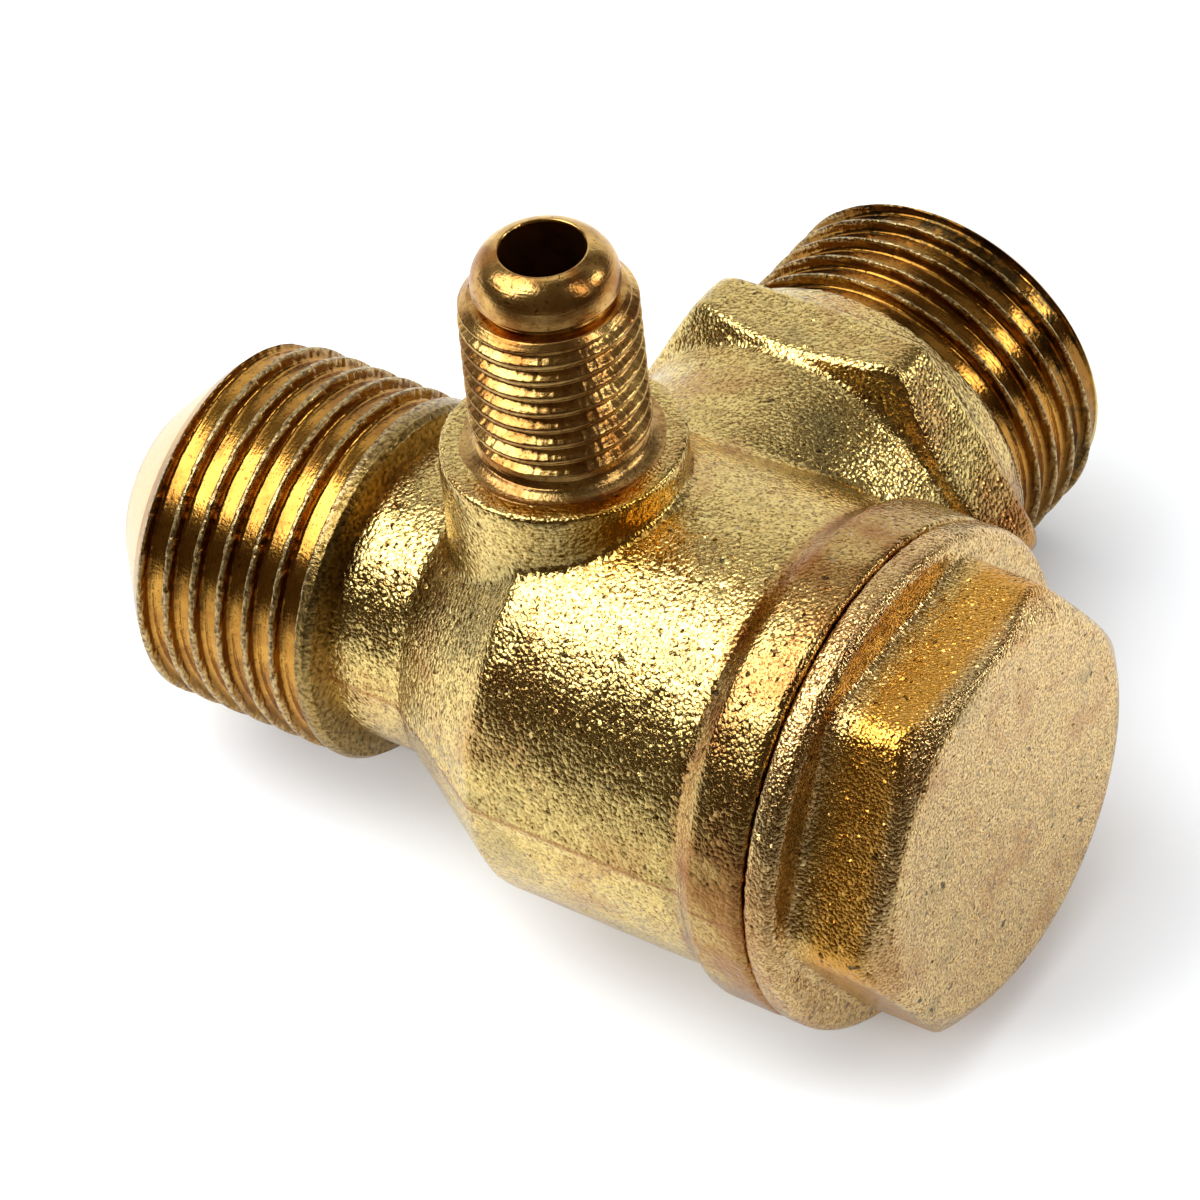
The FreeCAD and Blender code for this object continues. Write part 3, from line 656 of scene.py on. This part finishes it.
# Studio: the floor that the valve lies on, a camera, a large soft lamp behind on the left and two small ones on
# the right. The floor's plane is the one that the collar, the barrel and the tank hexagon rest on. Lengths here
# are in metres.
studio = {
    "floorNormal": (0.0592, -0.0824, 0.9948), "floorPoint": (0.0441, 0.0012, -0.01434), "floorHalf": 6.0,
    "frontWay": (0.62, -0.78, 0.0), "backWay": (-0.643, 0.766), "aim": (0.028, 0.004, 0.0),
    "roomRadius": 3.0, "roomTurns": 48, "roomHeights": 24, "roomLowest": -4, "roomHighest": 90,
    "cameraPlace": (0.223892, -0.247292, 0.284841), "cameraRight": (0.82507, 0.55933, -0.08006),
    "cameraUp": (-0.32512, 0.58585, 0.74235), "lens": 231.627, "sensor": 36.0, "clip": (0.01, 20.0),
}
white = (1, 1, 1, 1)
darkRoom = (0.06, 0.04, 0.02, 1)


def stageObject(name, corners, faces):
    mesh = bpy.data.meshes.new(name)
    mesh.from_pydata(corners, [], faces)
    stageItem = bpy.data.objects.new(name, mesh)
    bpy.context.scene.collection.objects.link(stageItem)
    return stageItem


def floorCorners():
    normal = Vector(studio["floorNormal"]).normalized()
    side = Vector((1, 0, 0))
    side = (side - normal * side.dot(normal)).normalized()
    front = normal.cross(side)
    return [Vector(studio["floorPoint"]) + side * a * studio["floorHalf"] + front * b * studio["floorHalf"]
            for a, b in ((-1, -1), (1, -1), (1, 1), (-1, 1))]


# White paper: bluish white in the lamps' light and kept white far from them; in the metal's reflections it is
# greyer and its front edge fades into the dark room
def whitePaper():
    material, tree = newMaterial("white paper floor")
    path = add(tree, "ShaderNodeLightPath")
    mirrored = math(tree, "MAXIMUM", path.outputs["Is Glossy Ray"], path.outputs["Is Transmission Ray"])
    where = objectPlace(tree)
    away = vector(tree, "DISTANCE", where, studio["floorPoint"], "Value")
    towards = vector(tree, "DOT_PRODUCT", where, studio["frontWay"], "Value")
    sheetEnd = ramp(tree, math(tree, "ADD", towards, 0.5), [(0.53, 1.0), (0.56, 0.4), (0.62, 0.12)])
    farGlow = ramp(tree, away, [(0.1, 0.1), (0.6, 0.8)])
    mirrorGlow = math(tree, "MULTIPLY", math(tree, "MULTIPLY", mirrored, sheetEnd), 0.04)
    paper = add(tree, "ShaderNodeBsdfDiffuse",
                {"Color": mixed(tree, mirrored, (0.84, 0.86, 0.885, 1), (0.7, 0.71, 0.72, 1))})
    strength = math(tree, "MULTIPLY_ADD", path.outputs["Is Camera Ray"], farGlow, mirrorGlow)
    glow = add(tree, "ShaderNodeEmission", {"Color": white, "Strength": strength})
    both = add(tree, "ShaderNodeAddShader", {0: paper.outputs[0], 1: glow.outputs[0]})
    dark = add(tree, "ShaderNodeEmission", {"Color": darkRoom, "Strength": 1.0})
    hidden = math(tree, "MULTIPLY", mirrored, math(tree, "SUBTRACT", 1.0, sheetEnd))
    shade = add(tree, "ShaderNodeMixShader", {0: hidden, 1: both.outputs[0], 2: dark.outputs[0]})
    add(tree, "ShaderNodeOutputMaterial", {"Surface": shade.outputs[0]})
    return material


floor = stageObject("floor", floorCorners(), [(0, 1, 2, 3)])
floor.data.materials.append(whitePaper())


def softbox(name, azimuth, elevation, distance, width, height, watts):
    # a rectangular lamp that looks at the object from that direction
    azimuth, elevation = np.radians(azimuth), np.radians(elevation)
    direction = Vector((np.cos(elevation) * np.cos(azimuth), np.cos(elevation) * np.sin(azimuth), np.sin(elevation)))
    lamp = bpy.data.lights.new(name, "AREA")
    lamp.shape, lamp.size, lamp.size_y, lamp.energy = "RECTANGLE", width, height, watts
    lampObject = bpy.data.objects.new(name, lamp)
    place = Matrix.Translation(Vector(studio["aim"]) + direction * distance)
    lampObject.matrix_world = place @ direction.to_track_quat("Z", "Y").to_matrix().to_4x4()
    bpy.context.scene.collection.objects.link(lampObject)
    return lampObject


softbox("large softbox", -140, 56, 0.9, 0.62, 0.66, 5.2)
softbox("small softbox", 40, 26, 0.9, 0.22, 0.2, 0.8)
softbox("strip softbox", 9, 40, 0.9, 0.06, 0.5, 0.9)
for lamp in (softbox("ceiling panel", -60, 82, 1.4, 1.0, 1.0, 10.0),
             softbox("fill panel", -118, 30, 1.2, 0.6, 0.4, 7.5)):
    lamp.visible_glossy = False  # these two only whiten the paper, and leave a tight shadow


def roomShell():
    # a dome of quads: radius times (cos h cos t, cos h sin t, sin h) at turn t and height h
    turns, heights = studio["roomTurns"], studio["roomHeights"]
    t, h = np.meshgrid(np.linspace(0, fullTurn, turns, endpoint=False),
                       np.radians(np.linspace(studio["roomLowest"], studio["roomHighest"], heights)), indexing="ij")
    shell = studio["roomRadius"] * np.stack([np.cos(h) * np.cos(t), np.cos(h) * np.sin(t), np.sin(h)], -1)
    column, row = np.meshgrid(np.arange(turns), np.arange(heights - 1), indexing="ij")
    cell = lambda a, b: (a % turns) * heights + b
    quads = np.stack([cell(column, row), cell(column, row + 1), cell(column + 1, row + 1), cell(column + 1, row)], -1)
    return shell.reshape(-1, 3).tolist(), quads.reshape(-1, 4).tolist()


# Dark room round the table, seen only in the metal: pale at the back near the table's edge, dark above and in
# front. Rise and back run from -1 to 1 over the dome.
def roomPaint():
    material, tree = newMaterial("dark room")
    parts = add(tree, "ShaderNodeSeparateXYZ", {0: objectPlace(tree)})
    rise = math(tree, "DIVIDE", parts.outputs["Z"], studio["roomRadius"])
    backX, backY = (math(tree, "MULTIPLY", parts.outputs[axis], share) for axis, share in zip("XY", studio["backWay"]))
    back = math(tree, "DIVIDE", math(tree, "ADD", backX, backY), studio["roomRadius"])
    patch = lambda source, heights, widths: math(tree, "MULTIPLY", ramp(tree, rise, heights), ramp(tree, source, widths))
    horizon = patch(back, [(0.05, 0.8), (0.3, 0.1)], [(0.4, 0.0), (0.7, 1.0)])
    backdrop = patch(back, [(0.7, 0.85), (0.8, 0.5)], [(0.6, 0.0), (0.72, 1.0)])
    overhead = patch(math(tree, "ADD", back, 0.5), [(0.84, 0.0), (0.92, 1.0)], [(0.5, 0.0), (0.65, 1.0)])
    aside = patch(back, [(0.35, 0.0), (0.5, 0.2), (0.75, 0.2), (0.85, 0.0)],
                  [(0.08, 0.0), (0.2, 1.0), (0.32, 1.0), (0.45, 0.0)])
    level = math(tree, "MAXIMUM", math(tree, "MAXIMUM", horizon, backdrop), aside)
    tint = mixed(tree, math(tree, "ADD", level, overhead), darkRoom, white)
    light = add(tree, "ShaderNodeEmission", {"Color": tint, "Strength": 1.0})
    add(tree, "ShaderNodeOutputMaterial", {"Surface": light.outputs[0]})
    return material


room = stageObject("room", *roomShell())
room.visible_camera = room.visible_diffuse = room.visible_shadow = room.visible_transmission = False
room.data.materials.append(roomPaint())


def whiteWorld():
    # full white where it is looked at, dimmer as a light
    dim = 0.42
    world = bpy.data.worlds.new("studio")
    world.use_nodes = True
    tree = world.node_tree
    tree.nodes.clear()
    path = add(tree, "ShaderNodeLightPath")
    mirrored = math(tree, "MAXIMUM", path.outputs["Is Camera Ray"], path.outputs["Is Glossy Ray"])
    shown = math(tree, "MAXIMUM", mirrored, path.outputs["Is Transmission Ray"])
    strength = math(tree, "MULTIPLY_ADD", shown, 1 - dim, dim)
    sky = add(tree, "ShaderNodeBackground", {"Color": white, "Strength": strength})
    add(tree, "ShaderNodeOutputWorld", {"Surface": sky.outputs[0]})
    return world


bpy.context.scene.world = whiteWorld()

camera = bpy.data.objects.new("camera", bpy.data.cameras.new("camera"))
camera.data.lens, camera.data.sensor_width = studio["lens"], studio["sensor"]
camera.data.clip_start, camera.data.clip_end = studio["clip"]
cameraRight, cameraUp = Vector(studio["cameraRight"]), Vector(studio["cameraUp"])
cameraTurn = Matrix((cameraRight, cameraUp, cameraRight.cross(cameraUp))).transposed().to_4x4()
camera.matrix_world = Matrix.Translation(Vector(studio["cameraPlace"])) @ cameraTurn
bpy.context.scene.collection.objects.link(camera)
bpy.context.scene.camera = camera
bpy.context.scene.view_settings.view_transform = "Standard"
print("studio done")
